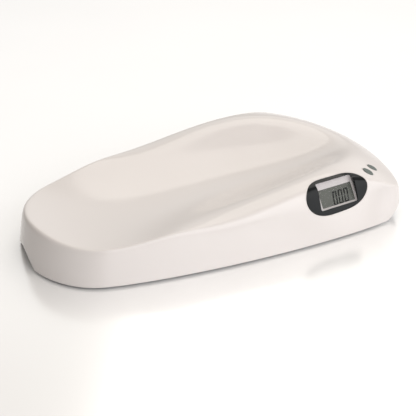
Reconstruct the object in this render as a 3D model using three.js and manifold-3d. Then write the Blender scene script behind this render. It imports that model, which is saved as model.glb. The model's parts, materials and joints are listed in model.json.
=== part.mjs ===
// Tray-type animal weighing scale: one moulded weighing tray over a base cover,
// four load-cell feet, a small display set in the near flank and two keys on the shoulder.
// Millimetres, +Z up, +X towards the wide display end, -Y towards the display side.
import * as THREE from 'three';
import { mergeVertices } from 'three/addons/utils/BufferGeometryUtils.js';
import Module from 'manifold-3d';

const wasm = await Module();
wasm.setup();

// ---------------------------------------------------------------- driving sizes
const LENGTH = 560;            // overall length of the tray
const WALL = 3.0;              // tray wall
const RIM_Z = 3.24;            // height of the tray's lower edge over the floor
const PLATE_Z = 6.0;           // underside of the base cover
const PLATE_T = 2.5;           // base cover thickness
const GAP = 0.3;               // gap between touching pieces
const FOOT_TRAVEL = 0.5;       // deflection of a load cell at full load
const KEY_TRAVEL = 0.5;        // travel of a key
const FEET = { fr: [178, -118], br: [178, 118], fl: [-205, -72], bl: [-205, 72] };
const CASE_SCREWS = [[-238, 48], [-238, -48], [-20, 122], [-20, -122], [194, 56], [194, -56]];
const KICK = 18.5;             // rise of the lower edge at the display end
const NOTCH = { y: 18, r: 42, h: 17.5 };     // hand recess at the narrow end
const WELL = { x0: 22, x1: 74, y0: -17.5, y1: 17.5, top: 19.4 };   // battery space

// shape of the tray: plan outline, flank slopes, crown and trough (unit model, scaled to LENGTH)
const S = {
  r0: 35.013, rl: 119.982, sl: 46.652, Ls: 449.784, ph: 97.04, ss: 6.427, se: 13.868, xo: -55.758,
  z0: 3.5, s0: 6.13, s1: 9.905, sx1: -5.209, sx2: 1.91, s3: 1.195,
  h0: 92.087, h1: 32.679, h2: -18.821, h3: -93.341, h4: 13.312, k0: 18.169, k1: -0.206, k2: 11.625,
  c0: 43.535, c1: 2.255, c2: 15.271, c3: 30.988, c4: 25.33, e0: 72, e1: 62.6,
  ks: 5, ks1: 6, kt: 6, kt1: 4, sn: 2.2, kn: 9,
};
const UNIT_LENGTH = 605.54;
const K = LENGTH / UNIT_LENGTH;
const CX = 20;                 // centre of the surface's polar grid in the unit model
const rad = Math.PI / 180;

// ---------------------------------------------------------------- plan outline
const NC = 721;
const gauss = (x, m, s) => Math.exp(-(((x - m) / s) ** 2) / 2);
const outlineTable = (() => {
  const sg = S.ss * rad, se = S.se * rad, sl = S.sl * rad, h = Math.PI / (NC - 1);
  const base = [], eb = [], ph = [];
  for (let i = 0; i < NC; i++) {
    const a = i * h;
    ph.push(a);
    base.push(S.r0 + S.rl * gauss(a, Math.PI, sl) + S.Ls / (sg * Math.sqrt(2 * Math.PI)) *
      (gauss(a, S.ph * rad, sg) + gauss(a, -S.ph * rad, sg) + gauss(a, 2 * Math.PI - S.ph * rad, sg)));
    eb.push((gauss(a, 0, se) + gauss(a, 2 * Math.PI, se)) / (se * Math.sqrt(2 * Math.PI)));
  }
  const cum = f => { const o = [0]; for (let i = 1; i < NC; i++) o.push(o[i - 1] + (f[i] + f[i - 1]) / 2 * h); return o; };
  const I = f => cum(f)[NC - 1];
  const Le = -I(base.map((b, i) => b * Math.cos(ph[i]))) / I(eb.map((b, i) => b * Math.cos(ph[i])));
  const rho = base.map((b, i) => b + Le * eb[i]);
  const x = cum(rho.map((r, i) => r * Math.sin(ph[i]))).map(v => -v);
  const y = cum(rho.map((r, i) => r * Math.cos(ph[i])));
  const mid = (x[0] + x[NC - 1]) / 2;
  return { x: x.map(v => v - mid + S.xo), y, h };
})();
function outline(t) {
  let a = ((t % (2 * Math.PI)) + 2 * Math.PI) % (2 * Math.PI);
  const sign = a <= Math.PI ? 1 : -1;
  if (a > Math.PI) a = 2 * Math.PI - a;
  const u = Math.min(a / outlineTable.h, NC - 1 - 1e-9), i = Math.floor(u), f = u - i;
  const lerp = v => v[i] * (1 - f) + v[i + 1] * f;
  return [lerp(outlineTable.x), sign * lerp(outlineTable.y)];
}
const smin = (a, b, k) => { const m = Math.min(a, b); return m - k * Math.log(Math.exp(-(a - m) / k) + Math.exp(-(b - m) / k)); };

// point of the tray's skin: t is the plan normal's angle, s runs 0 at the centre to 1 at the edge,
// inset moves the flank inwards and drop lowers the crown and trough (millimetres)
function skin(t, s, inset = 0, drop = 0) {
  const iu = inset / K, du = drop / K, c = Math.cos(t), n = Math.sin(t);
  let [ox, oy] = outline(t);
  let sl = S.s0 + S.s1 * c + S.s3 * Math.cos(2 * t) + S.sx1 * (ox - S.xo) / 300 + S.sx2 * ((ox - S.xo) / 300) ** 2;
  const nose = ((1 - c) / 2) ** 4;                           // steeper and rounder at the narrow end
  sl = Math.max(sl + S.sn * nose, 0.8);
  ox -= iu * c; oy -= iu * n;
  const x = CX + s * (ox - CX), y = s * oy;
  const d = (1 - s) * ((ox - CX) * c + oy * n);
  const xn = x / 280, yn = y / 160;
  const zs = sl * d;
  const dome = S.h0 + S.h1 * xn + S.h2 * xn ** 2 + S.h3 * xn ** 3 + S.h4 * xn ** 4 - (S.k0 + S.k1 * xn + S.k2 * xn ** 2) * yn ** 2 - du;
  const tr = S.c0 + S.c1 * xn + S.c2 * xn ** 2 + S.c3 * xn ** 3 + S.c4 * xn ** 4 + (S.e0 + S.e1 * xn) * yn ** 2 - du;
  const w = (1 + c) / 2;
  let tp = smin(dome, tr, Math.max(S.kt + S.kt1 * w, 1));
  const k = Math.max(S.ks + S.ks1 * w * w + S.kn * nose, 1);
  tp = Math.max(tp, k * 0.7);
  const cc = -k * Math.log(1 - Math.exp(-tp / k));
  const z = Math.max(smin(tp, zs + cc, k), 0) + S.z0;
  return [K * (x - S.xo), K * y, K * z];
}

// ---------------------------------------------------------------- solids and booleans
const NT = 64;
const SV = [0.14, 0.3, 0.46, 0.58, 0.68, 0.76, 0.82, 0.87, 0.91, 0.945, 0.975, 1];
function toSolid(geo) {
  let g = geo.clone();
  for (const k of Object.keys(g.attributes)) if (k !== 'position') g.deleteAttribute(k);
  g = mergeVertices(g, 1e-4);
  const pos = g.attributes.position.array, idx = g.index.array, tri = [];
  for (let i = 0; i < idx.length; i += 3) {
    const [a, b, c] = [idx[i], idx[i + 1], idx[i + 2]];
    if (a !== b && b !== c && a !== c) tri.push(a, b, c);
  }
  return new wasm.Manifold(new wasm.Mesh({ numProp: 3, vertProperties: new Float32Array(pos), triVerts: new Uint32Array(tri) }));
}
function toGeometry(m) {
  const r = m.getMesh();
  const p = new Float32Array(r.numVert * 3);
  for (let i = 0; i < r.numVert; i++) for (let j = 0; j < 3; j++) p[3 * i + j] = r.vertProperties[r.numProp * i + j];
  const g = new THREE.BufferGeometry();
  g.setAttribute('position', new THREE.BufferAttribute(p, 3));
  g.setIndex(new THREE.BufferAttribute(new Uint32Array(r.triVerts), 1));
  g.computeVertexNormals();
  return g;
}
// plan-normal angles spaced evenly by a mix of arc length and turning
function stations(nt) {
  const n = 1440, w = [0];
  for (let i = 1; i <= n; i++) {
    const a = outline((i - 1) / n * 2 * Math.PI), b = outline(i / n * 2 * Math.PI);
    w.push(w[i - 1] + Math.hypot(a[0] - b[0], a[1] - b[1]) / 1650 + 0.55 / n);
  }
  const th = [];
  for (let i = 0, j = 0; i < nt; i++) {
    const q = i / nt * w[n];
    while (w[j + 1] < q) j++;
    th.push((j + (q - w[j]) / (w[j + 1] - w[j])) / n * 2 * Math.PI);
  }
  return th;
}
// closed volume under the skin, down to zb
function volume(inset, drop, zb, nt = NT, sv = SV) {
  const v = [], tri = [], th = stations(nt);
  v.push(...skin(0, 0, inset, drop));
  for (const s of sv) for (const t of th) v.push(...skin(t, s, inset, drop));
  const nr = sv.length, id = (r, i) => 1 + r * nt + (i % nt);
  for (let i = 0; i < nt; i++) tri.push(0, id(0, i), id(0, i + 1));
  for (let r = 0; r + 1 < nr; r++) for (let i = 0; i < nt; i++) {
    tri.push(id(r, i), id(r + 1, i), id(r + 1, i + 1), id(r, i), id(r + 1, i + 1), id(r, i + 1));
  }
  const b0 = v.length / 3;
  for (let i = 0; i < nt; i++) { const p = skin(th[i], 1, inset, drop); v.push(p[0], p[1], zb); }
  const c = v.length / 3; v.push(K * (CX - S.xo), 0, zb);
  for (let i = 0; i < nt; i++) {
    const j = (i + 1) % nt;
    tri.push(id(nr - 1, i), b0 + i, b0 + j, id(nr - 1, i), b0 + j, id(nr - 1, j));
    tri.push(b0 + i, c, b0 + j);
  }
  return new wasm.Manifold(new wasm.Mesh({ numProp: 3, vertProperties: new Float32Array(v), triVerts: new Uint32Array(tri) }));
}
const box = (x0, x1, y0, y1, z0, z1) => toSolid(new THREE.BoxGeometry(x1 - x0, y1 - y0, z1 - z0).translate((x0 + x1) / 2, (y0 + y1) / 2, (z0 + z1) / 2));
const cylG = (r, z0, z1, n = 24, x = 0, y = 0, rt = r) => new THREE.CylinderGeometry(rt, r, z1 - z0, n).rotateX(Math.PI / 2).translate(x, y, (z0 + z1) / 2);
const cyl = (...a) => toSolid(cylG(...a));
const prism = (pts, z0, z1) => new THREE.ExtrudeGeometry(new THREE.Shape(pts.map(p => new THREE.Vector2(p[0], p[1]))), { depth: z1 - z0, bevelEnabled: false, steps: 1 }).translate(0, 0, z0);
const rbox = (w, h, r, n = 3) => {
  const p = [];
  for (const [sx, sy, a0] of [[1, -1, -90], [1, 1, 0], [-1, 1, 90], [-1, -1, 180]])
    for (let i = 0; i <= n; i++) { const a = (a0 + 90 * i / n) * rad; p.push([sx * (w / 2 - r) + r * Math.cos(a), sy * (h / 2 - r) + r * Math.sin(a)]); }
  return p;
};
const add = (...m) => m.reduce((a, b) => a.add(b));
const cut = (a, ...m) => m.reduce((x, b) => x.subtract(b), a);

const group = new THREE.Group();
const mats = {};
const mat = (name, color, roughness, metalness = 0, extra = {}) => { mats[name] = { color, roughness, metalness, ...extra }; };
mat('white', 0xf1eff0, 0.16); mat('base', 0xe6e5e6, 0.45); mat('black', 0x0a0b0d, 0.08); mat('clear', 0xdfe8ea, 0.03, 0, { transparent: true, opacity: 0.3 });
mat('bezel', 0xc9ccca, 0.35); mat('lcd', 0x8f9a92, 0.2); mat('pcb', 0x1f6a3c, 0.5); mat('chip', 0x17181a, 0.6); mat('key', 0x58625f, 0.55);
mat('steel', 0xb4b6b8, 0.3, 1); mat('zinc', 0xd0d1d2, 0.28, 1); mat('holder', 0x2b2d30, 0.6); mat('rubber', 0x1c1d1f, 0.85); mat('foot', 0x3a3c40, 0.55);
mat('cable', 0x2a2b2d, 0.6); mat('cell', 0x2f4f6a, 0.35); mat('elastomer', 0xc79ba2, 0.7); mat('cap', 0xb9842c, 0.45);
function put(name, m, material, parent = group, matrix = null) {
  const geo = m instanceof THREE.BufferGeometry ? m : toGeometry(m);
  const mesh = new THREE.Mesh(geo, new THREE.MeshStandardMaterial(mats[material]));
  mesh.name = name;
  if (matrix) matrix.decompose(mesh.position, mesh.quaternion, mesh.scale);
  parent.add(mesh);
  return mesh;
}
// ---------------------------------------------------------------- display and key frames
// display frame: local x along the scale, local y up the face, local z out of the flank
const DISP = new THREE.Matrix4().makeBasis(new THREE.Vector3(1, 0, 0), new THREE.Vector3(0, 0.546, 0.838).normalize(), new THREE.Vector3(0, -0.838, 0.546).normalize())
  .setPosition(134.13, -142.74, 61.28);
const inv = m => m.clone().invert();
const at = (M, m) => m.transform(M.toArray());
const LENS_A = [-2.323, -48.887, 7.379, 0.153, -0.252, -2.872, 1.463];
const LENS_B = [-1.0, 3.87, 29.179, 0.784, 0.17, 1.498, 3.119];
function lensOutline(grow, n = 48) {
  const f = (c, t) => c[0] + c[1] * Math.cos(t) + c[2] * Math.sin(t) + c[3] * Math.cos(2 * t) + c[4] * Math.sin(2 * t) + c[5] * Math.cos(3 * t) + c[6] * Math.sin(3 * t);
  const p = [];
  for (let i = 0; i < n; i++) {
    const t = -i / n * 2 * Math.PI, e = 1e-3;
    const q = [f(LENS_A, t), f(LENS_B, t)], dx = f(LENS_A, t - e) - f(LENS_A, t + e), dy = f(LENS_B, t - e) - f(LENS_B, t + e), L = Math.hypot(dx, dy);
    p.push([q[0] + grow * dy / L, q[1] - grow * dx / L]);
  }
  return p;
}
const WINDOW = { x: -0.6, y: 0, w: 64, h: 39, r: 3 };
const LCD = { x: 1.75, y: -3.75, w: 57.5, h: 26.5 };       // visible area, seen past the frame
const shift = (pts, x, y) => pts.map(p => [p[0] + x, p[1] + y]);

const KEYN = new THREE.Vector3(0.31, -0.21, 0.926).normalize();
function keyFrame(px, py, pz, dx, dy, dz) {
  const d = new THREE.Vector3(dx, dy, dz).addScaledVector(KEYN, -KEYN.dot(new THREE.Vector3(dx, dy, dz))).normalize();
  const sd = new THREE.Vector3().crossVectors(KEYN, d);
  return new THREE.Matrix4().makeBasis(d, sd, KEYN).setPosition(px, py, pz);
}
const KEYS = {
  power: { M: keyFrame(202.4, -126.8, 69.5, 6.6, -17, -6), len: 17.6, wid: 12.6 },
  tare: { M: keyFrame(219.9, -114.6, 66.4, 8.8, -14, -6), len: 16.2, wid: 11 },
};
function leaf(len, wid, grow, n = 12) {
  const a = len / 2 + grow * 1.4, b = wid / 2 + grow, p = [];
  for (let i = 0; i < 2 * n; i++) { const t = i / (2 * n) * 2 * Math.PI; p.push([a * Math.cos(t), b * Math.sin(t) * (0.82 + 0.18 * Math.sin(t) ** 2)]); }
  return p;
}

// ---------------------------------------------------------------- tray shell
const outer = volume(0, 0, RIM_Z);
const innerCut = volume(WALL, WALL, RIM_Z - 6);
const innerFit = volume(WALL + 0.4, WALL + 0.4, -2);       // what fits inside the tray
const innerBoss = volume(1.2, 1.2, -2);                    // bosses reach into the wall

const kick = [];                                           // lifted lower edge at the display end
for (let i = 0; i <= 10; i++) { const f = i / 10; kick.push([210 + 42 * f, RIM_Z + KICK * f * f * (3 - 2 * f)]); }
const kickCut = toSolid(prism([[210, -6], [300, -6], [300, RIM_Z + KICK], ...kick.slice().reverse()], -200, 200).rotateX(Math.PI / 2));
const notchPts = [];                                       // hand recess in the narrow end's lower edge
for (let i = 0; i <= 14; i++) { const u = -1 + 2 * i / 14; notchPts.push([NOTCH.y + NOTCH.r * u, RIM_Z + NOTCH.h * (1 - Math.abs(u) ** 1.6)]); }
notchPts.unshift([NOTCH.y - NOTCH.r, -6]);
notchPts.push([NOTCH.y + NOTCH.r, -6]);
notchPts.reverse();
const notchCut = toSolid(prism(notchPts, 0, 40).applyMatrix4(new THREE.Matrix4().makeBasis(new THREE.Vector3(0, 1, 0), new THREE.Vector3(0, 0, 1), new THREE.Vector3(1, 0, 0)).setPosition(-290, 0, 0)));

let shell = outer.subtract(innerCut);
// bosses that the case screws go into
for (const [x, y] of CASE_SCREWS) {
  shell = shell.add(cyl(4.2, 13.4, 75, 16, x, y).intersect(innerBoss));
}
// bosses around the display for the main board, along the display's normal
const BOARD_BOSS = [[-60, 14], [-60, -16], [47, 21.5], [47, -23.5]];
const BOARD_Z = -15.5;                                     // top face of the main board in the display frame
for (const [x, y] of BOARD_BOSS) shell = shell.add(at(DISP, cyl(3.4, BOARD_Z + GAP, 12, 16, x, y)).intersect(innerBoss));
// bosses under the shoulder for the key board
const KB = new THREE.Matrix4().copy(KEYS.power.M);
{
  const c = new THREE.Vector3(211.1, -120.7, 68.0), u = new THREE.Vector3(17.5, 12.2, -3.1);
  u.addScaledVector(KEYN, -KEYN.dot(u)).normalize();
  KB.makeBasis(u, new THREE.Vector3().crossVectors(KEYN, u), KEYN).setPosition(c);
}
const KB_TOP = -15.0;
const KB_BOSS = [[0, 12.5], [0, -12.5]];
for (const [x, y] of KB_BOSS) shell = shell.add(at(KB, cyl(2.9, KB_TOP + GAP, 6, 14, x, y)).intersect(innerBoss));
// openings and screw holes
shell = shell.subtract(at(DISP, toSolid(prism(lensOutline(0.35), -16, 14))));
for (const k of Object.values(KEYS)) shell = shell.subtract(at(k.M, toSolid(prism(leaf(k.len, k.wid, 0.4), -8, 8))));
for (const [x, y] of CASE_SCREWS) shell = shell.subtract(cyl(1.8, 12, 27.5, 12, x, y));
for (const [x, y] of BOARD_BOSS) shell = shell.subtract(at(DISP, cyl(1.5, BOARD_Z - 1, BOARD_Z + 8.5, 10, x, y)));
for (const [x, y] of KB_BOSS) shell = shell.subtract(at(KB, cyl(1.3, KB_TOP - 1, KB_TOP + 6.5, 10, x, y)));
shell = cut(shell, kickCut, notchCut);
put('tray_shell', shell, 'white');

// ---------------------------------------------------------------- base cover
const UP = PLATE_Z + KICK + 0.5;                            // plate level under the lifted end
const profile = [[-300, PLATE_Z], [202, PLATE_Z], [244, UP], [300, UP], [300, UP + PLATE_T], [243, UP + PLATE_T], [201, PLATE_Z + PLATE_T], [-300, PLATE_Z + PLATE_T]];
let cover = toSolid(prism(profile, -200, 200).rotateX(Math.PI / 2));
const top = PLATE_Z + PLATE_T;
cover = add(cover, box(-300, -247, NOTCH.y - NOTCH.r - 5, NOTCH.y + NOTCH.r + 5, PLATE_Z, 26.5));                       // hand recess block
cover = add(cover, box(WELL.x0 - 2, WELL.x1 + 2, WELL.y0 - 2, WELL.y1 + 2, PLATE_Z, WELL.top + 2));
for (const [x, y] of CASE_SCREWS) cover = add(cover, cyl(5.2, PLATE_Z, 13.1, 20, x, y));
cover = cover.intersect(innerFit);
cover = cut(cover, box(-310, -249.5, NOTCH.y - NOTCH.r - 2.5, NOTCH.y + NOTCH.r + 2.5, -2, 24));
cover = cut(cover, box(WELL.x0, WELL.x1, WELL.y0, WELL.y1, -2, WELL.top));
for (const [x, y] of CASE_SCREWS) cover = cut(cover, cyl(3.7, -2, 11.4, 18, x, y), cyl(1.95, -2, 20, 12, x, y));
for (const [x, y] of Object.values(FEET)) {
  cover = cut(cover, cyl(6.4, -2, 20, 24, x, y));
}
// stiffening ribs on the inside
const ribs = [];
for (const y of [-58, 58]) ribs.push(box(-160, 150, y - 1, y + 1, top - 0.5, top + 5));
ribs.push(box(-110, -108, -100, 100, top - 0.5, top + 5));
for (const r of ribs) cover = cover.add(r.intersect(innerFit));
put('base_cover', cover, 'base');

// ---------------------------------------------------------------- display
const D1 = volume(0, 0, -2), D2 = volume(2.5, 2.5, -2), D3 = volume(3.4, 3.4, -2);
const surroundPrism = at(DISP, toSolid(prism(lensOutline(0), -12, 14)));
const windowPrism = g => at(DISP, toSolid(prism(shift(rbox(WINDOW.w + 2 * g, WINDOW.h + 2 * g, WINDOW.r + g), WINDOW.x, WINDOW.y), -14, 16)));
put('display_surround', D1.intersect(surroundPrism).subtract(D2).subtract(windowPrism(0.3)), 'black');
put('display_window', D1.intersect(windowPrism(0)).subtract(D2), 'clear');

// frame behind the window, holding the LCD
const LCDG = { w: 66, h: 33, x: 1.75, y: -3.75 };        // glass
const BZ = { x: 1.5, y: -1, w: 78, h: 44 };
let bezel = toSolid(prism(shift(rbox(BZ.w, BZ.h, 2), BZ.x, BZ.y), BOARD_Z + GAP, 14));
bezel = at(DISP, bezel).intersect(D3);
const funnel = (() => { // tapered opening from the window down to the LCD's visible area
  const a = shift(rbox(LCD.w, LCD.h, 1, 1), LCD.x, LCD.y), b = shift(rbox(WINDOW.w - 1, WINDOW.h - 3, 1, 1), WINDOW.x, WINDOW.y);
  const v = [], tri = [], n = a.length, lev = [[-20, a], [-5, a], [1.5, b], [16, b]];
  for (const [z, q] of lev) for (const p of q) v.push(p[0], p[1], z);
  for (let l = 0; l < 3; l++) for (let i = 0; i < n; i++) { const j = (i + 1) % n, A = l * n, B = A + n; tri.push(A + i, A + j, B + j, A + i, B + j, B + i); }
  for (let i = 1; i + 1 < n; i++) { tri.push(0, i + 1, i); tri.push(3 * n, 3 * n + i, 3 * n + i + 1); }
  return new wasm.Manifold(new wasm.Mesh({ numProp: 3, vertProperties: new Float32Array(v), triVerts: new Uint32Array(tri) }));
})();
bezel = cut(bezel, at(DISP, funnel), at(DISP, toSolid(prism(shift(rbox(LCDG.w + 0.6, LCDG.h + 0.6, 0.5, 1), LCDG.x, LCDG.y), -20, -5))));
put('lcd_bezel', bezel, 'bezel');
put('lcd_glass', at(DISP, toSolid(prism(shift(rbox(LCDG.w, LCDG.h, 0.4, 1), LCDG.x, LCDG.y), -7.9, -5.3))), 'lcd');
for (const [nm, y] of [['zebra_strip_upper', LCDG.y + 14], ['zebra_strip_lower', LCDG.y - 14]])
  put(nm, toGeometry(at(DISP, box(LCDG.x - 29, LCDG.x + 29, y - 1.1, y + 1.1, BOARD_Z + GAP, -8.2))), 'elastomer');

let board = toSolid(prism(shift(rbox(117, 52, 2, 1), -8, -1.5), BOARD_Z - 1.6, BOARD_Z));
for (const [x, y] of BOARD_BOSS) board = board.subtract(cyl(1.5, BOARD_Z - 3, BOARD_Z + 1, 10, x, y));
put('main_board', at(DISP, board), 'pcb');
const bb = BOARD_Z - 1.6 - GAP;
put('controller_chip', at(DISP, box(-14, 0, 0, 14, bb - 1.8, bb)), 'chip');
put('adc_chip', at(DISP, box(-36, -28, -6, 0, bb - 1.5, bb)), 'chip');
put('board_capacitor', at(DISP, cyl(3.2, bb - 7, bb, 14, 20, 12)), 'cap');
const screwG = (r, L, rh, h) => { // pan-head screw: head below the origin, shank up +z
  const p = [[0, -h], [rh * 0.75, -h], [rh, -h * 0.55], [rh, 0], [r, 0], [r, L - 1], [r * 0.4, L], [0, L]].map(q => new THREE.Vector2(q[0], q[1]));
  return new THREE.LatheGeometry(p, 8).rotateX(Math.PI / 2).applyMatrix4(new THREE.Matrix4());
};
const screw = (r, L, rh, h) => toSolid(screwG(r, L, rh, h));
BOARD_BOSS.forEach(([x, y], i) => put('board_screw_' + (i + 1), at(DISP, screw(1.1, 8.4, 2.4, 1.5).translate([x, y, BOARD_Z - 1.6 - GAP])), 'zinc'));

// ---------------------------------------------------------------- keys and key board
const D4 = volume(-0.7, -0.7, -2), D5 = volume(4.8, 4.8, -2), D6 = volume(WALL + 0.9, WALL + 0.9, -2);
const swz = KB_TOP + GAP;                            // underside of the switch bodies
for (const [nm, k] of Object.entries(KEYS)) {
  const body = at(k.M, toSolid(prism(leaf(k.len, k.wid, 0), -9, 6))).intersect(D4).subtract(D5);
  const flange = at(k.M, toSolid(prism(leaf(k.len, k.wid, 1.8), -10, 6))).intersect(D6).subtract(D5);
  const inKB = inv(KB).multiply(new THREE.Matrix4().copyPosition(k.M));
  const o = new THREE.Vector3().setFromMatrixPosition(k.M).applyMatrix4(inv(KB));
  const stem = at(KB, cyl(2.2, swz + 5.9, -3.6, 14, o.x, o.y));
  put(nm + '_key', add(body, flange, stem), 'key');
  const sw = cut(box(o.x - 3.1, o.x + 3.1, o.y - 3.1, o.y + 3.1, swz, swz + 3.5), cyl(2.0, swz + 0.8, swz + 5, 14, o.x, o.y));
  put(nm + '_switch', at(KB, sw), 'chip');
  put(nm + '_plunger', at(KB, cyl(1.6, swz + 1.6, swz + 5.6, 14, o.x, o.y)), 'foot');
}
let kboard = toSolid(prism(rbox(38, 31, 2, 1), KB_TOP - 1.6, KB_TOP));
for (const [x, y] of KB_BOSS) kboard = kboard.subtract(cyl(1.3, KB_TOP - 3, KB_TOP + 1, 10, x, y));
put('key_board', at(KB, kboard), 'pcb');
KB_BOSS.forEach(([x, y], i) => put('key_board_screw_' + (i + 1), at(KB, screw(0.95, 7, 2, 1.3).translate([x, y, KB_TOP - 1.6 - GAP])), 'zinc'));

// ---------------------------------------------------------------- feet and load cells
for (const [nm, [x, y]] of Object.entries(FEET)) {
  const T = m => m.translate([x, y, 0]);
  // rubber pad
  put('foot_pad_' + nm, T(toSolid(new THREE.LatheGeometry([[0, 0], [16.5, 0], [18, 0.8], [18, 2.2], [0, 2.2]].map(p => new THREE.Vector2(...p)), 20).rotateX(Math.PI / 2))), 'rubber');
  // foot: disc with a snap-in stem
  put('foot_' + nm, T(toSolid(new THREE.LatheGeometry([[0, 2.5], [18.5, 2.5], [19, 3], [19, 4.6], [18.2, 5.1], [6, 5.1], [6, 8.85], [6.9, 9.1], [6.9, 9.6], [5.6, 11], [0, 11]].map(p => new THREE.Vector2(...p)), 20).rotateX(Math.PI / 2))), 'foot');
  // load cell: square steel plate with a slotted frame around its middle tongue
  const slot = cut(box(-12, 12, -12, 12, 10, 16), box(-8.6, 8.6, -13, 8.8, 9, 17));
  put('load_cell_' + nm, T(cut(toSolid(prism(rbox(34, 34, 3, 2), 11.6, 13.7)), slot)), 'steel');
  // holder over the cell, staked to the base cover
  let h = toSolid(prism(rbox(42, 42, 4, 2), top + GAP, 17.6));
  h = cut(h, box(-17.3, 17.3, -17.3, 17.3, 0, 14), box(-12.5, 12.5, -12.5, 12.5, 0, 15.6), box(-22, -14, -4, 4, 0, 11.2));
  put('cell_holder_' + nm, T(h), 'holder');
}
CASE_SCREWS.forEach(([x, y], i) => put('case_screw_' + (i + 1), screw(1.5, 15, 3.2, 1.9).translate([x, y, 11.1]), 'zinc'));

// ---------------------------------------------------------------- battery space
const BY = [-11.4, 0, 11.4];
const bz = 13.6;
BY.forEach((y, i) => {
  const p = [[0, 0], [4.6, 0], [5.2, 0.7], [5.2, 42.6], [4.4, 43.4], [1.9, 43.4], [1.9, 44.5], [0, 44.5]].map(q => new THREE.Vector2(...q));
  const g = new THREE.LatheGeometry(p, 14).rotateZ(-Math.PI / 2).translate(WELL.x0 + 5.4, y, bz);
  put('battery_' + (i + 1), toSolid(g), 'cell');
});
// one stamped strip with three coils behind the cells, one plain strip at their buttons
let strip = box(WELL.x0 + GAP, WELL.x0 + 0.9, -16, 16, bz - 4.2, bz + 5.2);
for (const y of BY) {
  const pts = [];
  for (let i = 0; i <= 26; i++) { const f = i / 26, a = f * 2.6 * 2 * Math.PI, r = 3.6 - 1.4 * f; pts.push(new THREE.Vector3(WELL.x0 + 0.7 + 4.1 * f, y + r * Math.cos(a), bz + r * Math.sin(a))); }
  const sh = new THREE.Shape(); for (let i = 0; i < 5; i++) { const a = i / 5 * 2 * Math.PI; i ? sh.lineTo(0.32 * Math.cos(a), 0.32 * Math.sin(a)) : sh.moveTo(0.32, 0); }
  strip = strip.add(toSolid(new THREE.ExtrudeGeometry(sh, { steps: 26, extrudePath: new THREE.CatmullRomCurve3(pts), bevelEnabled: false })));
}
put('battery_spring_strip', strip, 'steel');
put('battery_contact_strip', box(WELL.x1 - 0.9, WELL.x1 - GAP, -16, 16, bz - 4.2, bz + 5.2), 'steel');
let door = box(WELL.x0 + GAP, WELL.x1 - GAP, WELL.y0 + GAP, WELL.y1 - GAP, PLATE_Z, PLATE_Z + 1.8);
door = cut(door, box(WELL.x1 - 5, WELL.x1 - 2.5, -7, 7, PLATE_Z - 1, PLATE_Z + 0.8));   // finger groove at the latch
put('battery_door', door, 'base');

// ---------------------------------------------------------------- wiring
function cable(r, pts, steps) {
  const sh = new THREE.Shape(); for (let i = 0; i < 8; i++) { const a = i / 8 * 2 * Math.PI; i ? sh.lineTo(r * Math.cos(a), r * Math.sin(a)) : sh.moveTo(r, 0); }
  return toSolid(new THREE.ExtrudeGeometry(sh, { steps, extrudePath: new THREE.CatmullRomCurve3(pts.map(p => new THREE.Vector3(...p)), false, 'centripetal'), bevelEnabled: false }));
}
const onBoard = (x, y, z) => new THREE.Vector3(x, y, z).applyMatrix4(DISP).toArray();
const end = x => [onBoard(x, -21, bb - 9), onBoard(x, -21, bb - 0.4)];
put('cell_cable_fl', cable(1.3, [[-180.5, -72, 12.2], [-160, -78, 13.5], [-100, -92, 16], [20, -105, 16], [66, -110, 17], ...end(-50)], 34), 'cable');
put('cell_cable_bl', cable(1.3, [[-180.5, 72, 12.2], [-165, 64, 15.6], [-125, 40, 16], [-60, -20, 16], [0, -70, 16], [58, -97, 17], [80, -111, 19], ...end(-42)], 40), 'cable');
put('battery_lead', cable(1.0, [[76.5, 6, 14], [86, 2, 15], [92, -30, 16], [97, -80, 18], [100, -112, 22], ...end(-34)], 24), 'cable');
put('cell_cable_br', cable(1.3, [[153.5, 118, 12.2], [140, 105, 15], [128, 60, 16], [124, 0, 16], [118, -70, 17], [110, -108, 20], ...end(-26)], 34), 'cable');
put('cell_cable_fr', cable(1.3, [[153.5, -118, 12.2], [144, -118, 14], [132, -117, 17], [120, -116, 21], ...end(-18)], 14), 'cable');
{
  const a = new THREE.Vector3(-6, 0, KB_TOP - 1.6 - 0.4).applyMatrix4(KB).toArray(), a2 = new THREE.Vector3(-6, 0, KB_TOP - 9).applyMatrix4(KB).toArray();
  put('key_lead', cable(0.9, [a, a2, onBoard(46, -4, bb - 9), onBoard(40, -4, bb - 5), onBoard(38, -4, bb - 0.4)], 16), 'cable');
}

// put the origin under the middle of the whole box
{
  const b = new THREE.Box3().setFromObject(group, true);
  group.position.set(-(b.min.x + b.max.x) / 2, -(b.min.y + b.max.y) / 2, -b.min.z);
}

export default group;
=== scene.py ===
import json
import math
import bpy
import bmesh
import numpy as np
from mathutils import Matrix, Vector
from mathutils.bvhtree import BVHTree


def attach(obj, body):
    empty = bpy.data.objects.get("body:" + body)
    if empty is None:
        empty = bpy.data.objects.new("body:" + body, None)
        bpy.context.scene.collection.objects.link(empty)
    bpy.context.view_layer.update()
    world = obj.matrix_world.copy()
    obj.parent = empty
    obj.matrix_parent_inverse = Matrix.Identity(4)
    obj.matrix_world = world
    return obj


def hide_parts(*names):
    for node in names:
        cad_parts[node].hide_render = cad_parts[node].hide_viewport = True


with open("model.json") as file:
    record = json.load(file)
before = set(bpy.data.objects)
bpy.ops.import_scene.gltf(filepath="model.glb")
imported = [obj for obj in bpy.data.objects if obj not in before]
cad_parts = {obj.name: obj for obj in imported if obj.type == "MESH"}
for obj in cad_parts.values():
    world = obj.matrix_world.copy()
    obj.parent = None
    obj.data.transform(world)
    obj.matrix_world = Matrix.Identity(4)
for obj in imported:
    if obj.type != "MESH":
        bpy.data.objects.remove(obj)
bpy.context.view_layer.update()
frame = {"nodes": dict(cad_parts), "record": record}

MM = 0.001
SHIFT = 0.0886                      # mm from the modelling frame to the row frame, along x
RAD = math.pi / 180
NODES = frame["nodes"]
rng = np.random.default_rng(7)

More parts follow.
